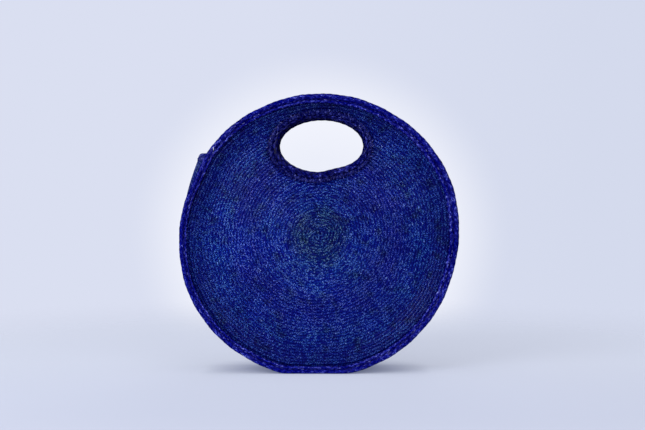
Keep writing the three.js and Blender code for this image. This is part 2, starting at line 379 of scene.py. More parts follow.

# %% [markdown]
# ## Plaited strips
# The edgings are flat plaits of wider leaf. In such a plait the strands cross the strip aslant,
# over and under each other. They could be woven as curves, but only the stretch of a strand that
# lies on top is seen. So each such stretch is one small patch that rises in its middle and dives
# under its neighbours, and a layer under the patches, painted dark as shade, closes the gaps.
# The same plait is laid on any surface: the function takes it as a rule from (along, across,
# height) to a point.

# %% The strands of a plait
PATCH_REACH = 0.36
PATCH_STEPS = 7
PATCH_WIDE = 4
SELVEDGE_PRESS = 0.12
NARROWING = 0.06
CROWN = 0.22
TILT = 0.1
LOOSENESS = 0.08
LOWER_STRANDS = 5000


def strand_patches(surface, strip, counts, lift, seed, groove):
    """The stretches of strand that lie on top. strip is the strip's length and width, and
    counts how often the plait repeats along it and how many lines it has across."""
    chance = np.random.default_rng(seed)
    length, width = strip
    repeats, lines = counts
    pitch_along, pitch_across = length / repeats, 2 * width / lines
    step, line = np.meshgrid(np.arange(2 * repeats), np.arange(lines + 1), indexing="ij")
    even = (step + line) % 2 == 0
    step, line = step[even][:, None, None], line[even][:, None, None]
    rising, falling, upper = (step + line) // 2, (step - line) // 2, line % 2 == 0

    along = np.linspace(-PATCH_REACH, 1 + PATCH_REACH, PATCH_STEPS)[None, :, None]
    wide = np.linspace(0.02, 0.98, PATCH_WIDE)[None, None, :]
    wide = 0.5 + (wide - 0.5) * (1 - NARROWING * chance.random(step.shape))
    at_rising = rising + np.where(upper, along, wide)
    at_falling = falling + np.where(upper, wide, along)
    across = (at_rising - at_falling) / 2 * pitch_across
    beyond = across - np.clip(across, 0, width)
    across = across - beyond * (1 - SELVEDGE_PRESS)
    arch = np.cos(np.pi * (along - 0.5) * 0.95)
    crown = CROWN * (2 * wide - 1) ** 2
    tilt = chance.normal(0, TILT, step.shape) * (wide - 0.5)
    height = lift * (arch - crown + tilt + chance.normal(0, LOOSENESS, step.shape))
    height = np.broadcast_to(height - 0.5 * np.abs(beyond), across.shape)
    along_strip = (at_rising + at_falling) / 2 * pitch_along
    points = surface(along_strip, across, height)

    cells = grid_triangles(PATCH_STEPS, PATCH_WIDE)
    patches = np.arange(len(step))[:, None, None] * (PATCH_STEPS * PATCH_WIDE)
    triangles = (patches + cells).reshape(-1, 3)
    number = np.where(upper, np.mod(falling, repeats), LOWER_STRANDS + np.mod(rising, repeats))
    along_strand = np.where(upper, rising, falling) + along
    corners = corner_map(triangles, number + wide, along_strand, along_strip, across)
    shade = groove(across) if groove else 0
    depth = np.clip(0.5 - 0.5 * height / lift + shade, 0, 1.5).ravel()
    return points.reshape(-1, 3), triangles, corners, depth


# %% The layer under the strands, and the whole plait
UNDER_DROP = -0.55
UNDER_STRAND = 9000.5


def under_layer(surface, strip, counts, lift):
    rows, columns = [4 * count + 1 for count in counts]
    ticks = [np.linspace(0, strip[0], rows), np.linspace(0, strip[1], columns)]
    along, across = np.meshgrid(*ticks, indexing="ij")
    points = surface(along, across, np.full(along.shape, UNDER_DROP * lift)).reshape(-1, 3)
    triangles = grid_triangles(rows, columns)
    corners = corner_map(triangles, UNDER_STRAND, 0.0, along, across)
    # The whole layer lies in painted shade, so it shows dark in the gaps.
    return points, triangles, corners, np.ones(along.size)


def plait(name, surface, length, width, strand, lift, seed, groove=None, slant=1.0):
    """A plait of strands on a strip. lift is how far a strand rises from the middle height,
    groove says, by the place across the strip, how deep in shade it lies, and a slant above 1
    turns the strands towards the strip's length."""
    diagonal = strand * math.sqrt(2)
    counts = (max(2, round(length / (diagonal * slant))), max(2, round(2 * width / diagonal)))
    on_top = strand_patches(surface, (length, width), counts, lift, seed, groove)
    below = under_layer(surface, (length, width), counts, lift)
    points, triangles, corners, depth = joined([on_top, below])
    maps = {"strands": corners[..., :2], "strip": corners[..., 2:] / [1, width]}
    return surface_mesh(name, points, triangles, maps, depth)


# %% [markdown]
# ## The rim bindings
# A plait is folded over each disc's edge all the way round. Seen in section it is a fat bead at
# the edge, a groove where the thread pulls it in, and a leg on each side of the face. A bevelled
# curve would give that form without its strands. Here the section is a short path of arcs and
# lines, and the plait is laid on it.

# %% A section path with its outward directions
def arc(centre, radius, start, end, steps):
    turn = np.radians(np.linspace(start, end, steps))
    return [(centre[0] + radius * math.cos(t), centre[1] + radius * math.sin(t)) for t in turn]


class Section:
    """A path in the plane of a strip's cross-section, measured along itself."""

    def __init__(self, half):
        """half runs from the strip's edge to the fold, and the other half mirrors it."""
        upper = np.array(half)
        rough = np.concatenate([upper, upper[-2::-1] * [1, -1]])
        steps = np.hypot(*np.diff(rough, axis=0).T)
        at = np.concatenate([[0], np.cumsum(steps)])
        self.length = at[-1]
        self.at = np.linspace(0, self.length, 200)
        path = [np.interp(self.at, at, row) for row in rough.T]
        kernel = np.hanning(15) / np.hanning(15).sum()
        padded = np.pad(path, ((0, 0), (7, 7)), mode="edge")
        self.path = np.stack([np.convolve(row, kernel, "valid") for row in padded], axis=1)
        ahead = np.gradient(self.path, axis=0)
        ahead /= np.hypot(*ahead.T)[:, None]
        self.out = np.stack([-ahead[:, 1], ahead[:, 0]], axis=1)

    def place(self, across, height):
        """The two coordinates in the section's plane, at a distance along it and a height."""
        path = [np.interp(across, self.at, row) for row in self.path.T]
        out = [np.interp(across, self.at, row) for row in self.out.T]
        return path[0] + height * out[0], path[1] + height * out[1]


# %% Rim bindings, front and back
RIM_STRAND = 2.9 * MM
RIM_LIFT = 0.42 * MM
RIM_SLANT = 2.0
RIM_WIDER, RIM_WIDEST = 1.3 * MM, math.radians(20)
LEG_TOP = PALM_THICKNESS / 2 + CLEARANCE + LEG_THICKNESS
BEAD_START = DISC_RADIUS - BEAD_RADIUS
GROOVE_RADIUS = RISE_END + 4 * MM
RIM_INSET = 0.25 * MM
RIM_UNEVEN = 0.35 * MM

rim_length = 2 * math.pi * DISC_RADIUS
rim_half = [
    (RISE_END, 1.0 * MM),
    (RISE_END + 0.2 * MM, LEG_TOP - 1.2 * MM),
    (RISE_END + 1.3 * MM, LEG_TOP - 0.2 * MM),
    (RISE_END + 2.2 * MM, LEG_TOP - 0.2 * MM),
    (RISE_END + 3.4 * MM, LEG_TOP - 1.3 * MM),
] + arc((BEAD_START, 0), BEAD_RADIUS - RIM_INSET, 118, 0, 16)
rim_section = Section(rim_half)
print("rim strip", round(rim_section.length / MM, 1), "mm wide,", round(rim_length / MM), "mm long")


def rim_surface(side, along, across, height):
    angle = along / DISC_RADIUS
    radius, plane = rim_section.place(across, height)
    leg = np.clip((BEAD_START - radius) / (BEAD_START - RISE_END), 0, 1)
    radius = radius - leg * RIM_WIDER * np.cos(angle - RIM_WIDEST)
    radius = radius + RIM_UNEVEN * np.sin(9 * angle + side) * np.sin(23 * angle)
    return settle(radius * np.cos(angle), side * (RIM_PLANE + plane), radius * np.sin(angle))


def rim_groove(across):
    """The thread's groove and the sewn-down edge lie in shade."""
    radius = rim_section.place(across, 0)[0]
    return 0.6 * np.maximum(bell(radius, GROOVE_RADIUS, 0.9 * MM), bell(radius, RISE_END, 0.9 * MM))


def rim_plait(name, side, seed):
    strip = (rim_length, rim_section.length, RIM_STRAND, RIM_LIFT)
    return plait(name, partial(rim_surface, side), *strip, seed, rim_groove, RIM_SLANT)


def both(make, name, seeds):
    """The front and the back piece of one kind, by side."""
    made = zip(SIDES.items(), seeds)
    return {side: make(f"{word}_{name}", side, seed) for (side, word), seed in made}


rims = both(rim_plait, "rim_plait", (11, 12))

# %% [markdown]
# ## The hand holes
# Each hole's cut edge is bound with a folded plait, the lip. A flat row of wider leaf, the
# border, lies round it on the outside. Equal steps of angle would be simpler, but on an oval
# they would stretch the strands. So both follow the hole's outline, measured along itself.

# %% The hole's outline, measured along itself
fine_angle = np.linspace(0, 2 * np.pi, 721)
fine_x, fine_z = hole_point(fine_angle)
hole_at = np.concatenate([[0], np.cumsum(np.hypot(np.diff(fine_x), np.diff(fine_z)))])
hole_length = hole_at[-1]
ahead_x, ahead_z = np.gradient(fine_x), np.gradient(fine_z)
ahead_size = np.hypot(ahead_x, ahead_z)
print("hole outline", round(hole_length / MM), "mm round")


def hole_offset(along, distance, drift):
    """The point of the outline at a run along it, moved outwards by a distance, and drifted."""
    at = partial(np.interp, np.mod(along, hole_length), hole_at)
    x = at(fine_x) + distance * at(ahead_z / ahead_size) + drift[0]
    z = at(fine_z) - distance * at(ahead_x / ahead_size) + drift[1]
    return np.stack([x, z])


def on_sheet(x, z, plane, side):
    return settle(x, side * (sheet_plane(np.hypot(x, z)) + plane), z)


# %% Hole lips
LIP_STRAND = 2.8 * MM
LIP_LIFT = 0.38 * MM
LIP_SLANT = 2.2
LIP_TOP = PALM_THICKNESS / 2 + CLEARANCE + LIP_THICKNESS
lip_half = [
    (-LIP_WIDTH, 1.0 * MM),
    (-LIP_WIDTH + 0.2 * MM, LIP_TOP - 0.9 * MM),
    (-LIP_WIDTH + 1.2 * MM, LIP_TOP - 0.2 * MM),
    (-2.6 * MM, LIP_TOP - 0.1 * MM),
] + arc((-2.6 * MM, 0), LIP_TOP - 0.5 * MM, 80, 0, 12)
lip_section = Section(lip_half)


def lip_surface(side, along, across, height):
    inward, plane = lip_section.place(across, height)
    share = smoothstep(-inward, 0.0, LIP_WIDTH)
    x, z = hole_offset(along, -inward, np.multiply.outer(LIP_DRIFT, share))
    return on_sheet(x, z, plane, side)


def lip_groove(across):
    return 0.6 * bell(lip_section.place(across, 0)[0], -LIP_WIDTH, 0.9 * MM)


def lip_plait(name, side, seed):
    strip = (hole_length, lip_section.length, LIP_STRAND, LIP_LIFT)
    return plait(name, partial(lip_surface, side), *strip, seed, lip_groove, LIP_SLANT)


lips = both(lip_plait, "hole_lip_plait", (21, 22))

# %% Hole borders
BORDER_STRAND = 2.6 * MM
BORDER_LIFT = 0.34 * MM
BORDER_HEIGHT = 2.2 * MM
BORDER_TUCK = 0.4 * MM
BORDER_FALL = 1.1 * MM


def border_surface(side, along, across, height):
    share = across / BORDER_WIDTH
    inner = hole_offset(along, LIP_WIDTH - BORDER_TUCK, LIP_DRIFT)
    outer = hole_offset(along, LIP_WIDTH + BORDER_WIDTH, BORDER_DRIFT)
    x, z = inner + share * (outer - inner)
    fall = BORDER_FALL * smoothstep(share, 0.72, 1.0)
    return on_sheet(x, z, BORDER_HEIGHT - fall + height, side)


def border_groove(across):
    return 0.8 * np.maximum(bell(across, 0, 1.6 * MM), bell(across, BORDER_WIDTH, 0.8 * MM))


def border_plait(name, side, seed):
    strip = (hole_length, BORDER_WIDTH, BORDER_STRAND, BORDER_LIFT)
    return plait(name, partial(border_surface, side), *strip, seed, border_groove)


borders = both(border_plait, "hole_border_plait", (31, 32))

# %% [markdown]
# ## The gusset and its hems
# The gusset is the same narrow braid in parallel rows. At its left end it is free of the faces'
# pull and bows outwards. Its cut ends are level, and a folded plait hems each of them. An array
# of one row could make it, but its rows follow the bow and the handmade outline. So it is a grid
# of points, with the same ridges as the discs.

# %% Where the gusset runs
GUSSET_OUTER = DISC_RADIUS - GUSSET_SETBACK
GUSSET_MIDDLE = GUSSET_OUTER - GUSSET_THICKNESS / 2
END_ANGLE = math.pi - math.asin(GUSSET_TOP / DISC_RADIUS)
FLARE_SPAN = FLARE_LENGTH / DISC_RADIUS
print("the gusset ends at", round(math.degrees(END_ANGLE), 1), "degrees")


def gusset_bow(angle, y):
    share = np.clip((END_ANGLE + FLARE_SPAN - angle) / FLARE_SPAN, 0, 1)
    across = 1 - np.minimum(1, np.abs(2 * y / GUSSET_WIDTH)) ** 2
    return (FLARE_OUT * share**2 + dent(angle)) * across


def end_angle(y, height, margin, left):
    """The angle at which the strip reaches a height, on its left or right side."""
    angle = np.full(np.broadcast(y, height).shape, END_ANGLE)
    for _ in range(8):
        radius = GUSSET_MIDDLE + margin + (gusset_bow(angle, y) if left else 0)
        pull = outline(angle if left else math.pi - angle) / DISC_RADIUS - 1
        radius = radius * (1 + pull * (radius / DISC_RADIUS) ** 2)
        angle = math.pi - np.arcsin(np.clip(height / radius, -1, 1))
    return angle


# %% Gusset rows
GUSSET_ROWS = 17
SHIFT_HALVES = 60
RUN_PER_ROW = 300


def gusset_layer(outward, step, threads, seed):
    chance = np.random.default_rng(seed)
    top = GUSSET_TOP - HEM_THICKNESS - CLEARANCE
    place = np.arange(GUSSET_ROWS * threads + 1) / threads
    across = np.mod(place, 1)
    y = (place / GUSSET_ROWS - 0.5) * GUSSET_WIDTH
    left = end_angle(y, top, 0, True)
    right = 3 * math.pi - end_angle(y, top, 0, False)
    count = round((right[0] - left[0]) * GUSSET_OUTER / step)
    share = np.linspace(0, 1, count)[:, None]
    angle = left + share * (right - left)
    run = share * (right[0] - left[0]) * GUSSET_OUTER / STRAND_REPEAT
    shift = chance.integers(0, SHIFT_HALVES, GUSSET_ROWS + 1) / 2
    row = np.minimum(place.astype(int), GUSSET_ROWS - 1)
    height = row_height(run + shift[row], across)
    radius = GUSSET_MIDDLE + gusset_bow(angle, y) + outward * (GUSSET_THICKNESS / 2 + height)
    points = settle(radius * np.cos(angle), y + 0 * angle, radius * np.sin(angle))
    columns = len(place)
    triangles = grid_triangles(count, columns)
    last = triangles % columns
    owner = row[last.min(axis=1)][:, None]
    corner_run = run[:, 0][triangles // columns] + shift[owner] + RUN_PER_ROW * owner
    corners = np.stack([corner_run, last / threads - owner], axis=-1)
    if outward < 0:
        triangles, corners = triangles[:, ::-1], corners[:, ::-1]
    depth = 1 - (height + ROW_SUNK) / (ROW_RIDGE + ROW_LUMP)
    return points.reshape(-1, 3), triangles, corners, depth.ravel()


layers = [gusset_layer(1, STRAND_REPEAT / 2, 4, 41), gusset_layer(-1, STRAND_REPEAT, 2, 42)]
points, triangles, corners, depth = joined(layers)
place = corner_map(triangles, points[:, 0], points[:, 2] - DISC_HEIGHT)
gusset = surface_mesh("gusset_rows", points, triangles, {"rows": corners, "place": place}, depth)

# %% Hems on the gusset's ends
HEM_STRAND = 2.8 * MM
HEM_LIFT = 0.35 * MM
HEM_OUT = GUSSET_THICKNESS / 2 + 0.9 * MM
HEM_SIDE = 0.2 * MM
hem_half = [
    (-HEM_HEIGHT, GUSSET_THICKNESS / 2),
    (-HEM_HEIGHT + 0.4 * MM, HEM_OUT - 0.4 * MM),
    (-HEM_HEIGHT + 1.6 * MM, HEM_OUT),
    (-HEM_OUT - 0.6 * MM, HEM_OUT),
] + arc((-HEM_OUT - 0.4 * MM, 0), HEM_OUT, 84, 0, 10)
hem_section = Section(hem_half)


def hem_surface(left, along, across, height):
    y = np.clip(along, HEM_SIDE, GUSSET_WIDTH - HEM_SIDE) - GUSSET_WIDTH / 2
    drop, margin = hem_section.place(across, height)
    angle = end_angle(y, GUSSET_TOP + drop, margin, left)
    radius = GUSSET_MIDDLE + margin + (gusset_bow(angle, y) if left else 0)
    turn = angle if left else math.pi - angle
    return settle(radius * np.cos(turn), y, radius * np.sin(turn))


def hem_plait(name, left, seed):
    strip = (GUSSET_WIDTH, hem_section.length, HEM_STRAND, HEM_LIFT)
    return plait(name, partial(hem_surface, left), *strip, seed)


hems = [hem_plait("left_hem_plait", True, 51), hem_plait("right_hem_plait", False, 52)]

# %% [markdown]
# ## Sewing threads
# A plait is held by thread: running stitches lie in the groove behind each rim's bead, between
# the hole's two strips and on the hems, and slanted ones catch the loose edges. A curve along
# the seam could dive in and out, but its hidden half would be wasted. So a stitch is a small
# spindle that rises in its middle and dives at both ends. Like the plaits, it is laid on a
# strip's surface, so it follows every bend.

# %% Stitches on a strip's surface
STITCH_RINGS = 7
STITCH_COLUMNS = 7
STITCH_STRAY = 0.25 * MM


def stitches(surface, starts, ends, thickness, seed):
    """Spindles from (along, across) to (along, across), as points, triangles, map and depth."""
    chance = np.random.default_rng(seed)
    ends = ends + chance.normal(0, STITCH_STRAY, starts.shape)
    share = np.linspace(0, 1, STITCH_RINGS)[:, None]
    along = starts[:, 0] + share * (ends[:, 0] - starts[:, 0])
    across = starts[:, 1] + share * (ends[:, 1] - starts[:, 1])
    swell = np.sqrt(1 - (2 * share - 1) ** 2 + 0.01)
    lift = thickness * (1.5 * swell - 0.4)
    core = surface(along, across, lift + 0 * along)
    out = surface(along, across, lift + MM + 0 * along) - core
    out /= np.linalg.norm(out, axis=-1, keepdims=True)
    beside = np.cross(core[-1] - core[0], out)
    beside /= np.linalg.norm(beside, axis=-1, keepdims=True)
    turn = np.linspace(0, 2 * np.pi, STITCH_COLUMNS)[:, None, None, None]
    size = (thickness * swell)[None, :, :, None]
    points = core + size * (np.cos(turn) * beside + np.sin(turn) * out)
    points = points.transpose(2, 1, 0, 3).reshape(-1, 3)
    number = np.arange(len(starts))
    stitch_points = STITCH_RINGS * STITCH_COLUMNS
    cells = grid_triangles(STITCH_RINGS, STITCH_COLUMNS)
    triangles = (number[:, None, None] * stitch_points + cells).reshape(-1, 3)
    along_stitch = np.tile(np.repeat(share[:, 0], STITCH_COLUMNS), len(starts))
    numbers = np.repeat(number, stitch_points) + seed * 100 + 0.5
    corners = corner_map(triangles, numbers, along_stitch)
    return points, triangles, corners, np.zeros(len(points))


# %% Rows of stitches
def stitch_row(surface, length, pitch, reach, across, thickness, seed):
    """A row of stitches: each runs reach along the strip, between two places across it."""
    along = np.arange(round(length / pitch)) * length / round(length / pitch)
    starts = np.stack([along, np.full(along.shape, across[0])], axis=1)
    return stitches(surface, starts, starts + [reach, across[1] - across[0]], thickness, seed)


def sewn(name, rows):
    points, triangles, corners, depth = joined(rows)
    return surface_mesh(name, points, triangles, {"strands": corners}, depth)


# %% Stitches of the rims, the holes and the hems
THREAD = 0.42 * MM
RIM_PITCH, RIM_REACH = 5.2 * MM, 3.9 * MM
RIM_CATCH_PITCH, RIM_CATCH_REACH = 4.6 * MM, 1.6 * MM
HOLE_PITCH, HOLE_REACH = 6.1 * MM, 4 * MM
HOLE_CATCH_PITCH, HOLE_CATCH_REACH = 3.9 * MM, 1.2 * MM
HEM_PITCH, HEM_REACH = 5.6 * MM, 3.4 * MM
HEM_INSET = 3 * MM
first_half = rim_section.at < rim_section.length / 2
rim_across = np.interp(GROOVE_RADIUS, rim_section.path[first_half, 0], rim_section.at[first_half])


def rim_stitches(name, side, seed):
    row = partial(stitch_row, partial(rim_surface, side), rim_length)
    rows = []
    for edge, toward in [(0, 1), (rim_section.length, -1)]:
        groove = edge + toward * rim_across
        caught = (edge + toward * 0.4 * MM, edge + toward * 2.2 * MM)
        rows.append(row(RIM_PITCH, RIM_REACH, (groove, groove), 1.2 * THREAD, seed))
        rows.append(row(RIM_CATCH_PITCH, RIM_CATCH_REACH, caught, 0.8 * THREAD, seed + 1))
    return sewn(name, rows)


def hole_stitches(name, side, seed):
    row = partial(stitch_row, partial(border_surface, side), hole_length)
    between = row(HOLE_PITCH, HOLE_REACH, (BORDER_TUCK, BORDER_TUCK), THREAD, seed)
    caught = (BORDER_WIDTH - 1.6 * MM, BORDER_WIDTH + 1.2 * MM)
    catching = row(HOLE_CATCH_PITCH, HOLE_CATCH_REACH, caught, THREAD, seed + 1)
    return sewn(name, [between, catching])


def hem_stitches(name, left, seed):
    row = partial(stitch_row, partial(hem_surface, left), GUSSET_WIDTH - 4 * MM, HEM_PITCH, HEM_REACH)
    places = (HEM_INSET, hem_section.length - HEM_INSET)
    return sewn(name, [row((across, across), THREAD, seed) for across in places])


rim_threads = both(rim_stitches, "rim_stitches", (61, 63))
hole_threads = both(hole_stitches, "hole_stitches", (65, 67))
hem_threads = [
    hem_stitches("left_hem_stitches", True, 69), hem_stitches("right_hem_stitches", False, 70)]

# %% The thread's end, above the gusset's left end
END_ALONG = math.radians(140.3) * DISC_RADIUS
END_ACROSS = rim_across + 2.6 * MM
END_HALF = np.array([1.9, -1.7]) * MM
END_THICKNESS = 0.6 * MM
end_middle = np.array([[END_ALONG, END_ACROSS]])
end_stitch = stitches(
    partial(rim_surface, FRONT), end_middle - END_HALF, end_middle + END_HALF, END_THICKNESS, 71)
thread_end = sewn("front_rim_thread_end", [end_stitch])

# %% [markdown]
# ## Frayed ends
# Where a leaf strand ran out and the next was laid in, its tip is left on the outside of the
# face. Up to two hundred tips catch the light as pale specks. They are the same spindles, laid
# on the disc, with a place given by its run round the disc and its distance from the middle.

# %% Strand tips on the faces
TIPS = 200
TIP_THICKNESS = 0.48 * MM
TIP_LEAN = 0.9 * MM
TIP_SHORT, TIP_LONG = 1.0, 2.1
TIP_BASE = PALM_THICKNESS / 2 + 0.2 * MM
CLEAR_OF_HOLE = 16 * MM


def disc_surface(side, along, across, height):
    angle = along / DISC_RADIUS
    return on_sheet(across * np.cos(angle), across * np.sin(angle), TIP_BASE + height, side)


def strand_tips(name, side, seed):
    chance = np.random.default_rng(seed)
    angle = chance.uniform(0, 2 * np.pi, TIPS)
    radius = RISE_START * np.sqrt(chance.uniform(0.01, 1, TIPS))
    clear = beyond_hole(radius * np.cos(angle), radius * np.sin(angle)) > CLEAR_OF_HOLE
    angle, radius = angle[clear], radius[clear]
    lean = chance.uniform(-1, 1, len(angle)) * TIP_LEAN
    reach = chance.uniform(TIP_SHORT, TIP_LONG, len(angle)) * MM
    starts = np.stack([angle * DISC_RADIUS, radius], axis=1)
    ends = np.stack([(angle + reach / radius) * DISC_RADIUS, radius + lean], axis=1)
    return sewn(name, [stitches(partial(disc_surface, side), starts, ends, TIP_THICKNESS, seed)])


tips = both(strand_tips, "strand_tips", (81, 82))

# %% [markdown]
# ## Finishes
# Palm leaf takes dye unevenly: strands of one batch are violet, of another teal, and some are
# nearly black. Each strand gets its own tone from its number or its place on the UV map. An
# image could be painted for this, but a formula stays sharp at any distance. The maths is
# written as Python sums on sockets, through one small class.

# %% Sums on sockets
def operator(operation):
    """The two methods for an operator: with the socket on its left, and on its right."""

    def on_left(self, value):
        return self.finish.math(operation, self, value)

    def on_right(self, value):
        return self.finish.math(operation, value, self)

    return on_left, on_right


class Wire:
    """An output socket that can be added, multiplied and so on."""

    __add__, __radd__ = operator("ADD")
    __sub__, __rsub__ = operator("SUBTRACT")
    __mul__, __rmul__ = operator("MULTIPLY")
    __truediv__, __rtruediv__ = operator("DIVIDE")
    __pow__, __rpow__ = operator("POWER")

    def __init__(self, finish, socket):
        self.finish = finish
        self.socket = socket

    def math(self, operation, *values):
        return self.finish.math(operation, self, *values)

    def floor(self):
        return self.math("FLOOR")

    def part(self):
        return self.math("FRACT")

    def size(self):
        return self.math("ABSOLUTE")

    def between(self, least, most):
        return self.math("MINIMUM", most).math("MAXIMUM", least)

    def axis(self, name):
        """One of a vector's numbers."""
        return self.finish.add("ShaderNodeSeparateXYZ", {}, {0: self}, name)

    def spread(self, low, high, to_low=0.0, to_high=1.0, kind="LINEAR"):
        """The stretch from low to high, laid over another range and cut off beyond it."""
        sockets = {"Value": self, 1: low, 2: high, 3: to_low, 4: to_high}
        return self.finish.add("ShaderNodeMapRange", {"interpolation_type": kind}, sockets)

    def ramp(self, stops):
        return self.finish.add("ShaderNodeValToRGB", {"ramp": stops}, {0: self})

    def tinted(self, tint, share=1.0):
        """The colour times a tint, as far as a share says."""
        return self.finish.mix(share, self, (*tint, 1.0), "MULTIPLY")


# %% The nodes of a finish
PALM_ROUGHNESS = 0.6


class Finish:
    """The nodes of a material or of the world, and the one method that adds to them."""

    def __init__(self, owner):
        owner.use_nodes = True
        self.owner = owner
        self.tree = owner.node_tree
        self.tree.nodes.clear()

    def add(self, kind, settings, sockets, output=0):
        """Makes a node, sets it up, then fills or links its sockets, and gives one output."""
        node = self.tree.nodes.new(kind)
        for key, value in settings.items():
            if key == "ramp":
                self.fill_ramp(node.color_ramp, value)
            else:
                setattr(node, key, value)
        for key, value in sockets.items():
            if isinstance(value, Wire):
                self.tree.links.new(value.socket, node.inputs[key])
            else:
                node.inputs[key].default_value = value
        return Wire(self, node.outputs[output]) if node.outputs else None

    def fill_ramp(self, ramp, stops):
        while len(ramp.elements) > 1:
            ramp.elements.remove(ramp.elements[-1])
        ramp.elements[0].position = stops[0][0]
        ramp.elements[0].color = stops[0][1]
        for position, color in stops[1:]:
            ramp.elements.new(position).color = color

    def math(self, operation, *values):
        return self.add("ShaderNodeMath", {"operation": operation}, dict(enumerate(values)))

    def uv(self, name):
        return self.add("ShaderNodeUVMap", {"uv_map": name}, {})

    def depth(self):
        return self.add("ShaderNodeAttribute", {"attribute_name": "depth"}, {}, "Fac")

    def plane(self, x, y):
        return self.add("ShaderNodeCombineXYZ", {}, {"X": x, "Y": y})

    def dice(self, x, y):
        """A number by chance for each x and y."""
        return self.add("ShaderNodeTexWhiteNoise", {"noise_dimensions": "2D"}, {"Vector": self.plane(x, y)})

    def strand_dice(self, number):
        """A number by chance for each strand."""
        return self.add("ShaderNodeTexWhiteNoise", {"noise_dimensions": "1D"}, {"W": number})

    def cloud(self, at, scale, detail):
        """Noise on a plane."""
        sockets = {"Vector": at, "Scale": scale, "Detail": detail}
        return self.add("ShaderNodeTexNoise", {"noise_dimensions": "2D"}, sockets)

    def waver(self, at, detail):
        """Noise along a line."""
        sockets = {"W": at, "Scale": 1.0, "Detail": detail}
        return self.add("ShaderNodeTexNoise", {"noise_dimensions": "1D"}, sockets)

    def away(self, at, point):
        """The distance from a point."""
        return self.add("ShaderNodeVectorMath", {"operation": "DISTANCE"}, {0: at, 1: point}, "Value")

    def mix(self, factor, first, second, blend="MIX"):
        settings = {"data_type": "RGBA", "blend_type": blend}
        return self.add("ShaderNodeMix", settings, {0: factor, 6: first, 7: second}, 2)

    def close(self, color, height, distance, strength, more):
        """The finished material of palm: dull, with its relief as a bump."""
        bump = {"Height": height, "Distance": distance, "Strength": strength}
        sockets = {"Base Color": color, "Roughness": PALM_ROUGHNESS, "Specular IOR Level": 0.0, **more}
        sockets["Normal"] = self.add("ShaderNodeBump", {}, bump, "Normal")
        surface = self.add("ShaderNodeBsdfPrincipled", {}, sockets)
        self.add("ShaderNodeOutputMaterial", {}, {"Surface": surface})
        print(self.owner.name, "has", len(self.tree.nodes), "nodes")
        return self.owner


# %% Dye colours
def dye(red, green, blue):
    """A colour written as a screen shows it, from 0 to 255, in the shader's linear light."""
    share = np.array([red, green, blue]) / 255
    linear = np.where(share <= 0.04045, share / 12.92, ((share + 0.055) / 1.055) ** 2.4)
    return (*linear.tolist(), 1.0)


def dyes(*stops):
    """A ramp's stops from (place, red, green, blue), written as a screen shows them."""
    return [(place, dye(*color)) for place, *color in stops]


# %% [markdown]
# ## The braid rows' finish
# In a braid row the strands lie as two files of slanted lozenges, one either side of its
# middle. The map's first number runs along the row in strand repeats and its second across it,
# so a lozenge is found with a floor and a slant, and each gets its flecks and its tone by
# chance. The creases between lozenges and the valleys between rows are painted darker, a
# painted shade. On a disc the tone changes with the distance from the middle, and towards the
# rim it is painted darker, a painted shade where the face dips to its rim. Soft patches paint
# light and shade over the disc, lighter at the left, where the lamp's light falls, and darker
# above the hole.

# %% Ring tints, painted rim shade and patches of painted light on a disc
RING_STRAY = 12 * MM
# Tints by the distance from the middle, as (share of the radius, red, green, blue); the last two darken the
# face towards its rim, a painted shade.
RING_TINTS_AND_RIM_SHADE = [
    (0.0, 0.98, 1.21, 0.86), (0.1, 1.0, 1.22, 0.66), (0.17, 1.12, 1.26, 0.7), (0.24, 1.05, 1.26, 1.1),
    (0.4, 1.16, 1.22, 1.16), (0.46, 0.99, 0.88, 0.98), (0.58, 0.89, 0.74, 0.98), (0.66, 0.88, 1.05, 1.0),
    (0.75, 0.8, 1.08, 1.02), (0.84, 0.44, 0.64, 0.78), (1.0, 0.32, 0.46, 0.54),
]
# Patches of painted light and shade, as (x, z, reach in mm, tint): lighter at the left and below the
# middle, darker above the hole.
PAINTED_LIGHT_PATCHES = [
    (-104, 0, 60, (1.32, 1.42, 1.22)), (0, -36, 55, (1.36, 1.32, 1.09)), (45, 43, 45, (0.72, 0.77, 0.91)),
    (132, -22, 50, (0.68, 0.9, 0.95)), (110, 100, 40, (1.16, 1.3, 1.2)), (0, 140, 60, (1.05, 0.8, 0.74)),
]


def disc_tints_and_painted_light(finish, color, place, cloud):
    """Tints by the distance from the disc's middle, darker towards the rim as a painted shade, and the
    patches of painted light and shade.
    """
    radius = finish.away(place, (0.0, 0.0, 0.0))
    turn = (radius + (cloud - 0.5) * RING_STRAY) / DISC_RADIUS
    ring_tint = turn.ramp([(stop, (*tint, 1.0)) for stop, *tint in RING_TINTS_AND_RIM_SHADE])
    color = finish.mix(1.0, color, ring_tint, "MULTIPLY")
    for x, z, reach, tint in PAINTED_LIGHT_PATCHES:
        away = finish.away(place, (x * MM, z * MM, 0.0))
        share = away.spread(0.2 * reach * MM, reach * MM, 1.0, 0.0, "SMOOTHSTEP")
        color = color.tinted(tint, share)
    return color


# %% Braid row finish
LOZENGE_SLANT = 1.1
FLECKS_ALONG, FLECKS_ACROSS = 1.7, 4
ROW_BUMP = 0.6 * MM
VIOLET, TEAL, DULL, WEAK = (1.06, 0.9, 1.0), (0.93, 1.09, 1.02), (0.74, 0.76, 0.56), (0.8, 0.8, 0.78)
FIBRE_SHADE, CREASE_SHADE, VALLEY_SHADE = (0.45, 0.5, 0.62), (0.02, 0.1, 0.55), (0.02, 0.1, 0.34)


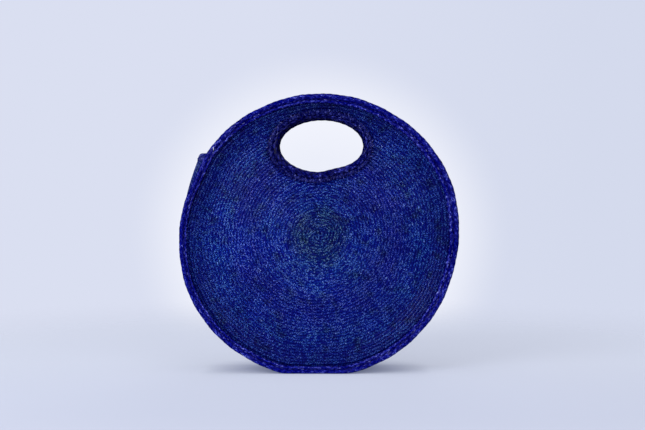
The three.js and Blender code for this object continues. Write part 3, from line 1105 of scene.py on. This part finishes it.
def braid_finish(name, tones, disc):
    finish = Finish(bpy.data.materials.new(name))
    rows, place = finish.uv("rows"), finish.uv("place")
    run, across = rows.axis("X"), rows.axis("Y")
    far_half = across.math("GREATER_THAN", 0.5)
    lozenge_run = run + (across - 0.5).size() * LOZENGE_SLANT + far_half * 0.5
    within = lozenge_run.part()
    chance = finish.dice(lozenge_run.floor(), far_half * 3.7)
    slow = finish.waver(run * 0.03, 3.0)
    cloud = finish.cloud(place, 30.0, 3.0)
    fleck_run, fleck_across = lozenge_run * FLECKS_ALONG, across * FLECKS_ACROSS
    fleck = finish.dice((fleck_run * 0.5).floor(), (fleck_across * 0.5).floor()).spread(0.12, 0.88)
    turn = ((fleck_run.floor() + fleck_across.floor()) * 0.5).part() * 2
    fleck = (turn - fleck).size()
    pick = chance * 0.1 + fleck * 1.15 + (slow - 0.5) * 0.1 + (cloud - 0.5) * 0.06 - 0.355
    color = pick.ramp(tones)

    toward_violet = finish.cloud(place, 40.0, 1.0).spread(0.35, 0.65)
    color = color.tinted(VIOLET, toward_violet).tinted(TEAL, 1 - toward_violet)
    color = color.tinted(DULL, finish.cloud(place, 75.0, 1.0).spread(0.55, 0.8))
    color = color.tinted(WEAK, 1 - cloud.spread(0.3, 0.7))
    if disc:
        # A disc gets its tints by distance, its painted shade towards the rim and its patches of painted
        # light.
        color = disc_tints_and_painted_light(finish, color, place, cloud)

    fibre = finish.cloud(finish.plane(lozenge_run * 1.5, across * 18.0 + run * 2.0), 1.0, 2.0)
    color = color.tinted(FIBRE_SHADE, fibre.spread(0.3, 0.7, 0.45, 0.0))
    color = color.tinted(CREASE_SHADE, (within - 0.5).size().spread(0.26, 0.5) * 0.6)
    shade = ((finish.depth() - 0.4) * 1.5).between(0.0, 1.0)
    color = color.tinted(VALLEY_SHADE, shade)
    height = (1 - (within * 2 - 1) ** 4) * 0.7 + fibre * 0.3
    coat = {"Coat Weight": (1 - shade) * fleck * 0.36, "Coat Roughness": 0.3}
    return finish.close(color, height, ROW_BUMP, 1.0, coat)


# %% Dye of the faces and the gusset
row_tones = dyes(
    (0.0, 0, 0, 106), (0.2, 0, 4, 122), (0.4, 0, 24, 144), (0.55, 6, 46, 164),
    (0.7, 35, 73, 187), (0.85, 80, 111, 213), (1.0, 144, 168, 244))
gusset_tones = dyes(
    (0.0, 0, 2, 92), (0.2, 8, 22, 122), (0.42, 28, 48, 150),
    (0.65, 60, 80, 178), (0.85, 104, 120, 206), (1.0, 156, 168, 230))
face_finish = braid_finish("dyed_braid_rows", row_tones, True)
gusset_finish = braid_finish("dyed_gusset_rows", gusset_tones, False)

# %% [markdown]
# ## The plaits' finish
# A wide strand is a strip of leaf with fine ribs along it. Its number picks its tone, the ribs
# are noise stretched along it, flecks break it up, and the stretch that dives under a neighbour
# is darker, a painted shade. Bands shift the tone by the place across a strip: it is painted
# darker at the strip's edges, in the thread's groove and where the lip rolls into the hole, a
# painted shade. A painted light makes one side of a rim or a hole lip paler than the other,
# lighter towards the lower right and darker towards the upper left. One function makes all four
# plaits' finishes, because they differ only in their dye and in their painted light and shade.

# %% Plait finish
STRAND_BUMP = 0.4 * MM
UNDER_SHADE = (0.02, 0.03, 0.26)
# The turn round a ring that puts the painted light's palest side at the lower right.
LIT_SIDE_TURN = 0.5


def plait_finish(name, tones, shade_bands, length, lit_side=0.0):
    """The bands are (place from the edge to the fold, how far the tone shifts): a painted shade across the
    strip. The last argument paints one side of a ring paler than the other, a painted light.
    """
    finish = Finish(bpy.data.materials.new(name))
    strands, strip = finish.uv("strands"), finish.uv("strip")
    number_across, along = strands.axis("X"), strands.axis("Y")
    number = number_across.floor()
    strip_along = strip.axis("X")
    chance = finish.strand_dice(number)
    stretch = finish.dice(number * 3.1, (along + 0.25).floor())
    fleck = finish.dice((number_across * 2.0).floor(), (along * 3.0).floor())
    rib = finish.cloud(finish.plane(number_across * 4.0, along * 2.4), 1.0, 4.0)
    slow = finish.waver(strip_along * 40, 2.0)
    # One side of the ring is painted paler and the other darker, a painted light.
    side_light = (strip_along * (2 * math.pi / length) + LIT_SIDE_TURN).math("COSINE") * lit_side
    fold = 1 - (strip.axis("Y") * 2 - 1).size()
    # The bands paint shade across the strip: darker at its edges and in its grooves.
    band_shade = fold.ramp([(place, (shift, shift, shift, 1.0)) for place, shift in shade_bands])
    pick = chance * 0.2 + stretch * 0.3 + fleck * 0.6 + rib * 1.5 + (slow - 0.5) * 0.5
    tone = (pick + band_shade + side_light - 1.365).ramp(tones)
    side = (number_across.part() * 2 - 1).size() ** 5
    shade = ((finish.depth() - 0.2) * 1.35).between(side * 0.6, 1.0)
    coat = {"Coat Weight": (1 - shade) * stretch * 0.35, "Coat Roughness": 0.28}
    return finish.close(tone.tinted(UNDER_SHADE, shade), rib, STRAND_BUMP, 0.6, coat)


# %% Dye, painted shade and painted light of the four plaits
rim_tones = dyes(
    (0.0, 0, 0, 96), (0.25, 0, 4, 116), (0.45, 8, 14, 136),
    (0.62, 26, 34, 158), (0.82, 66, 76, 192), (1.0, 126, 136, 224))
lip_tones = dyes(
    (0.0, 0, 0, 50), (0.25, 0, 2, 76), (0.45, 6, 10, 104),
    (0.65, 26, 32, 132), (0.85, 60, 66, 164), (1.0, 108, 114, 200))
border_tones = dyes(
    (0.0, 0, 0, 56), (0.25, 2, 6, 82), (0.45, 12, 20, 108),
    (0.65, 38, 46, 132), (0.85, 78, 84, 162), (1.0, 128, 132, 194))
hem_tones = dyes(
    (0.0, 0, 2, 78), (0.25, 14, 20, 110), (0.5, 36, 46, 140), (0.75, 72, 80, 168), (1.0, 140, 146, 208))
# Bands of painted shade across each strip, as (place from the edge to the fold, tone shift).
rim_shade_bands = [
    (0.0, 0.26), (0.1, 0.5), (0.24, 0.56), (0.34, 0.3), (0.46, 0.22), (0.56, 0.34), (0.72, 0.46)]
lip_shade_bands = [(0.0, 0.28), (0.3, 0.4), (0.6, 0.33), (1.0, 0.26)]
border_shade_bands = [(0.0, 0.18), (0.4, 0.29), (0.75, 0.39), (1.0, 0.4)]
hem_shade_bands = [(0.0, 0.36), (0.3, 0.42)]
# The last numbers paint one side of each rim and each hole lip paler, a painted light.
rim_finish = plait_finish("dyed_rim_plait", rim_tones, rim_shade_bands, rim_length, 0.05)
lip_finish = plait_finish("dyed_lip_plait", lip_tones, lip_shade_bands, hole_length, 0.13)
border_finish = plait_finish("dyed_border_plait", border_tones, border_shade_bands, hole_length)
hem_finish = plait_finish("dyed_hem_plait", hem_tones, hem_shade_bands, GUSSET_WIDTH)

# %% [markdown]
# ## The threads' finish
# The sewing thread took the same dye, and now and then a stitch stayed paler. It is twisted,
# which a wave along each stitch shows. The bare thread end and the strand tips are paler still.
# A twisted mesh would show no more, because a stitch is about one pixel wide in the photograph.

# %% Thread finish
THREAD_BUMP = 0.2 * MM
TWISTS = 6.0
TWIST_SHADE = (0.3, 0.3, 0.5)


def thread_finish(name, *tones):
    finish = Finish(bpy.data.materials.new(name))
    strands = finish.uv("strands")
    tone = finish.strand_dice(strands.axis("X").floor()).ramp(dyes(*tones))
    twist = (strands.axis("Y") * TWISTS).part()
    color = tone.tinted(TWIST_SHADE, (twist - 0.5).size() * 1.2)
    return finish.close(color, twist, THREAD_BUMP, 0.5, {"Specular IOR Level": 0.1})


dyed_thread = thread_finish(
    "dyed_thread", (0.0, 0, 0, 84), (0.4, 8, 12, 108), (0.8, 34, 42, 142), (1.0, 104, 110, 192))
bare_thread = thread_finish("bare_thread", (0.0, 196, 200, 226), (1.0, 206, 210, 234))
pale_tips = thread_finish(
    "pale_strand_tips", (0.0, 66, 96, 216), (0.5, 98, 130, 246), (1.0, 150, 184, 255))

# %% [markdown]
# ## Bodies and solids
# A piece of one side crosses the line where that side's handle arch bends. A stiff lower and a
# stiff upper half would open a slit there, and palm bends without one. Here such a piece only has
# its place applied and is given to no body, so nothing in this script blends it from the bag's
# body to the handle's. The other pieces ride on the bag's body. Each piece stands for the plain
# solids that it covers, which stay for collision.


def dress(piece, finish, slot, nodes, side=None):
    """A piece on one side crosses that side's bend; the others ride on the bag's body."""
    piece.data.materials.append(finish)
    if side is None:
        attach(piece, "bag_body")
    else:
        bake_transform(piece)
    if nodes:
        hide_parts(*nodes)
    print(piece.name, "is", slot, "and stands for", len(nodes), "solids")


for side, word in SIDES.items():
    handle = f"{word}_handle"
    dress(faces[side], face_finish, "palm_rows", (f"{word}_face", f"{handle}_arch"), side)
    dress(rims[side], rim_finish, "rim_plait", (f"{word}_rim_binding", f"{handle}_rim_binding"), side)
    dress(lips[side], lip_finish, "edge_plait", (f"{word}_hole_lip", f"{handle}_hole_lip"), side)
    solids = (f"{word}_hole_border", f"{handle}_hole_border")
    dress(borders[side], border_finish, "edge_plait", solids, side)
    dress(rim_threads[side], dyed_thread, "rim_plait", (), side)
    dress(hole_threads[side], dyed_thread, "edge_plait", (), side)
    dress(tips[side], pale_tips, "palm_rows", (), side)
dress(thread_end, bare_thread, "rim_plait", (), FRONT)
dress(gusset, gusset_finish, "gusset_rows", ("gusset",))
for hem, hem_thread, word in zip(hems, hem_threads, ("left", "right")):
    dress(hem, hem_finish, "edge_plait", (f"gusset_hem_{word}",))
    dress(hem_thread, dyed_thread, "edge_plait", ())

# %% [markdown]
# ## The camera
# The photograph was taken from about a metre and a half away, a little above the middle of the
# bag. A camera can be dragged until the view fits. Here it is placed by numbers measured in the
# photograph, and turned so that the disc's middle falls on its pixel.

# %% Camera
from mathutils import Matrix, Vector

bpy.context.scene.view_settings.view_transform = "Standard"
FRAME_WIDTH, FRAME_HEIGHT = 645, 430
DISC_PIXEL = (319.06, 236.1)
DISC_RADIUS_PIXELS = 141.6
CAMERA_AWAY = 1.5
CAMERA_RAISED = DISC_HEIGHT + 0.075
CAMERA_ASIDE = 0.004

camera_data = bpy.data.cameras.new("camera")
camera = bpy.data.objects.new("camera", camera_data)
bpy.context.scene.collection.objects.link(camera)
bpy.context.scene.camera = camera
eye = Vector((CAMERA_ASIDE, -CAMERA_AWAY - RIM_PLANE, CAMERA_RAISED))
target = Vector((0, -RIM_PLANE, DISC_HEIGHT))
camera_data.sensor_width = 36.0
pixels_per_slope = DISC_RADIUS_PIXELS / (DISC_RADIUS / CAMERA_AWAY)
camera_data.lens = pixels_per_slope * camera_data.sensor_width / FRAME_WIDTH
aim = (target - eye).normalized()
right_slope = (DISC_PIXEL[0] - FRAME_WIDTH / 2) / pixels_per_slope
down_slope = (DISC_PIXEL[1] - FRAME_HEIGHT / 2) / pixels_per_slope
yaw = math.atan2(aim.x, aim.y) - math.atan(right_slope)
pitch = math.asin(aim.z) + math.atan(down_slope)
turned = Matrix.Rotation(-yaw, 4, "Z") @ Matrix.Rotation(math.pi / 2 + pitch, 4, "X")
camera.matrix_world = Matrix.Translation(eye) @ turned
print("lens", round(camera_data.lens, 1), "mm, pitch", round(math.degrees(pitch), 2), "degrees")

# %% [markdown]
# ## Floor, background and lamps
# The bag stands on pale paper that runs on into a pale background, a little brighter behind
# the bag. The paper is painted: a camera ray that reaches the world sees its colour, and the
# floor shows the same to the camera in part, so the background is pale without more light on
# the bag. Where the bag stands close over the floor, ambient occlusion paints a soft shade, and
# the lamps' shadow lies over it.

# %% Floor
FLOOR_FAR = dye(216, 222, 241)
FLOOR_NEAR = dye(202, 208, 231)
FLOOR_LIT = dye(214, 221, 241)
FLOOR_SIZE = 6.0
FLOOR_PAINTED = 0.6
FLOOR_FADE = (0.25, 0.9)
NEAR_TO_FAR = (-0.3, 0.05)
CONTACT_SHADE = dye(62, 76, 124)
CONTACT_REACH = 48 * MM
CONTACT_LEAN = {"X": 0.0, "Y": -0.7, "Z": 0.7}

bpy.ops.mesh.primitive_plane_add(size=FLOOR_SIZE, location=(0, 0, 0))
floor = bpy.context.object
floor.name = "paper_floor"
paper = Finish(bpy.data.materials.new("pale_paper"))
spot = paper.add("ShaderNodeTexCoord", {}, {}, "Object")
fade = paper.away(spot, (0.0, 0.0, 0.0)).spread(*FLOOR_FADE, kind="SMOOTHSTEP")
lit = paper.add("ShaderNodeBsdfDiffuse", {}, {"Color": FLOOR_LIT})
lean = paper.add("ShaderNodeCombineXYZ", {}, CONTACT_LEAN)
contact = {"Distance": CONTACT_REACH, "Normal": lean}
open_share = paper.add("ShaderNodeAmbientOcclusion", {"samples": 16}, contact, "AO")
farther = spot.axis("Y").spread(*NEAR_TO_FAR)
paint = paper.mix(open_share, CONTACT_SHADE, paper.mix(farther, FLOOR_NEAR, FLOOR_FAR))
painted = paper.add("ShaderNodeEmission", {}, {"Color": paint, "Strength": 1.0})
camera_ray = paper.add("ShaderNodeLightPath", {}, {}, "Is Camera Ray")
sheet = paper.add("ShaderNodeMixShader", {}, {0: camera_ray * FLOOR_PAINTED, 1: lit, 2: painted})
clear = paper.add("ShaderNodeBsdfTransparent", {}, {})
faded = paper.add("ShaderNodeMixShader", {}, {0: fade, 1: sheet, 2: clear})
paper.add("ShaderNodeOutputMaterial", {}, {"Surface": faded})
floor.data.materials.append(paper.owner)
print("the floor is", FLOOR_SIZE, "m wide")

# %% Background
WORLD_LIGHT = 0.22
PAPER_LEFT = dye(218, 223, 241)
PAPER_RIGHT = dye(212, 218, 237)
LEFT_TO_RIGHT = (-0.05, 0.2)
GLOW = dye(243, 245, 254)
GLOW_PLACE = (-0.0023, 0.9987, -0.05)
GLOW_EDGE = (0.085, 0.15)
GLOW_RING = (0.06, 0.1)
GLOW_INSIDE = 0.72

studio = Finish(bpy.data.worlds.new("studio"))
bpy.context.scene.world = studio.owner
camera_ray = studio.add("ShaderNodeLightPath", {}, {}, "Is Camera Ray")
direction = studio.add("ShaderNodeTexCoord", {}, {}, "Generated")
away = studio.away(direction, GLOW_PLACE)
glow = away.spread(*GLOW_EDGE, 1.0, 0.0, "SMOOTHSTEP") * away.spread(*GLOW_RING, GLOW_INSIDE, 1.0)
rightwards = direction.axis("X").spread(*LEFT_TO_RIGHT)
backdrop = studio.mix(glow, studio.mix(rightwards, PAPER_LEFT, PAPER_RIGHT), GLOW)
seen = studio.add("ShaderNodeBackground", {}, {"Color": backdrop, "Strength": 1.0})
given = studio.add("ShaderNodeBackground", {}, {"Color": (1.0, 1.0, 1.0, 1.0), "Strength": WORLD_LIGHT})
chosen = studio.add("ShaderNodeMixShader", {}, {0: camera_ray, 1: given, 2: seen})
studio.add("ShaderNodeOutputWorld", {}, {"Surface": chosen})


# %% Lamps
def softbox(name, place, size, power):
    """A square lamp that looks at the bag's middle."""
    data = bpy.data.lights.new(name, "AREA")
    data.size = size
    data.energy = power
    lamp = bpy.data.objects.new(name, data)
    bpy.context.scene.collection.objects.link(lamp)
    lamp.location = place
    toward = Vector((0, 0, DISC_HEIGHT)) - Vector(place)
    lamp.rotation_mode = "QUATERNION"
    lamp.rotation_quaternion = toward.to_track_quat("-Z", "Y")
    print(name, "gives", power, "W from", round(toward.length, 2), "m")


softbox("left_box", (-1.2, -1.4, 0.95), 1.1, 27)
softbox("right_box", (0.9, -1.8, 0.9), 1.1, 8.5)
softbox("top_box", (0, -0.35, 1.9), 1.4, 12)
softbox("back_box", (0.3, 1.7, 1.2), 1.1, 7)
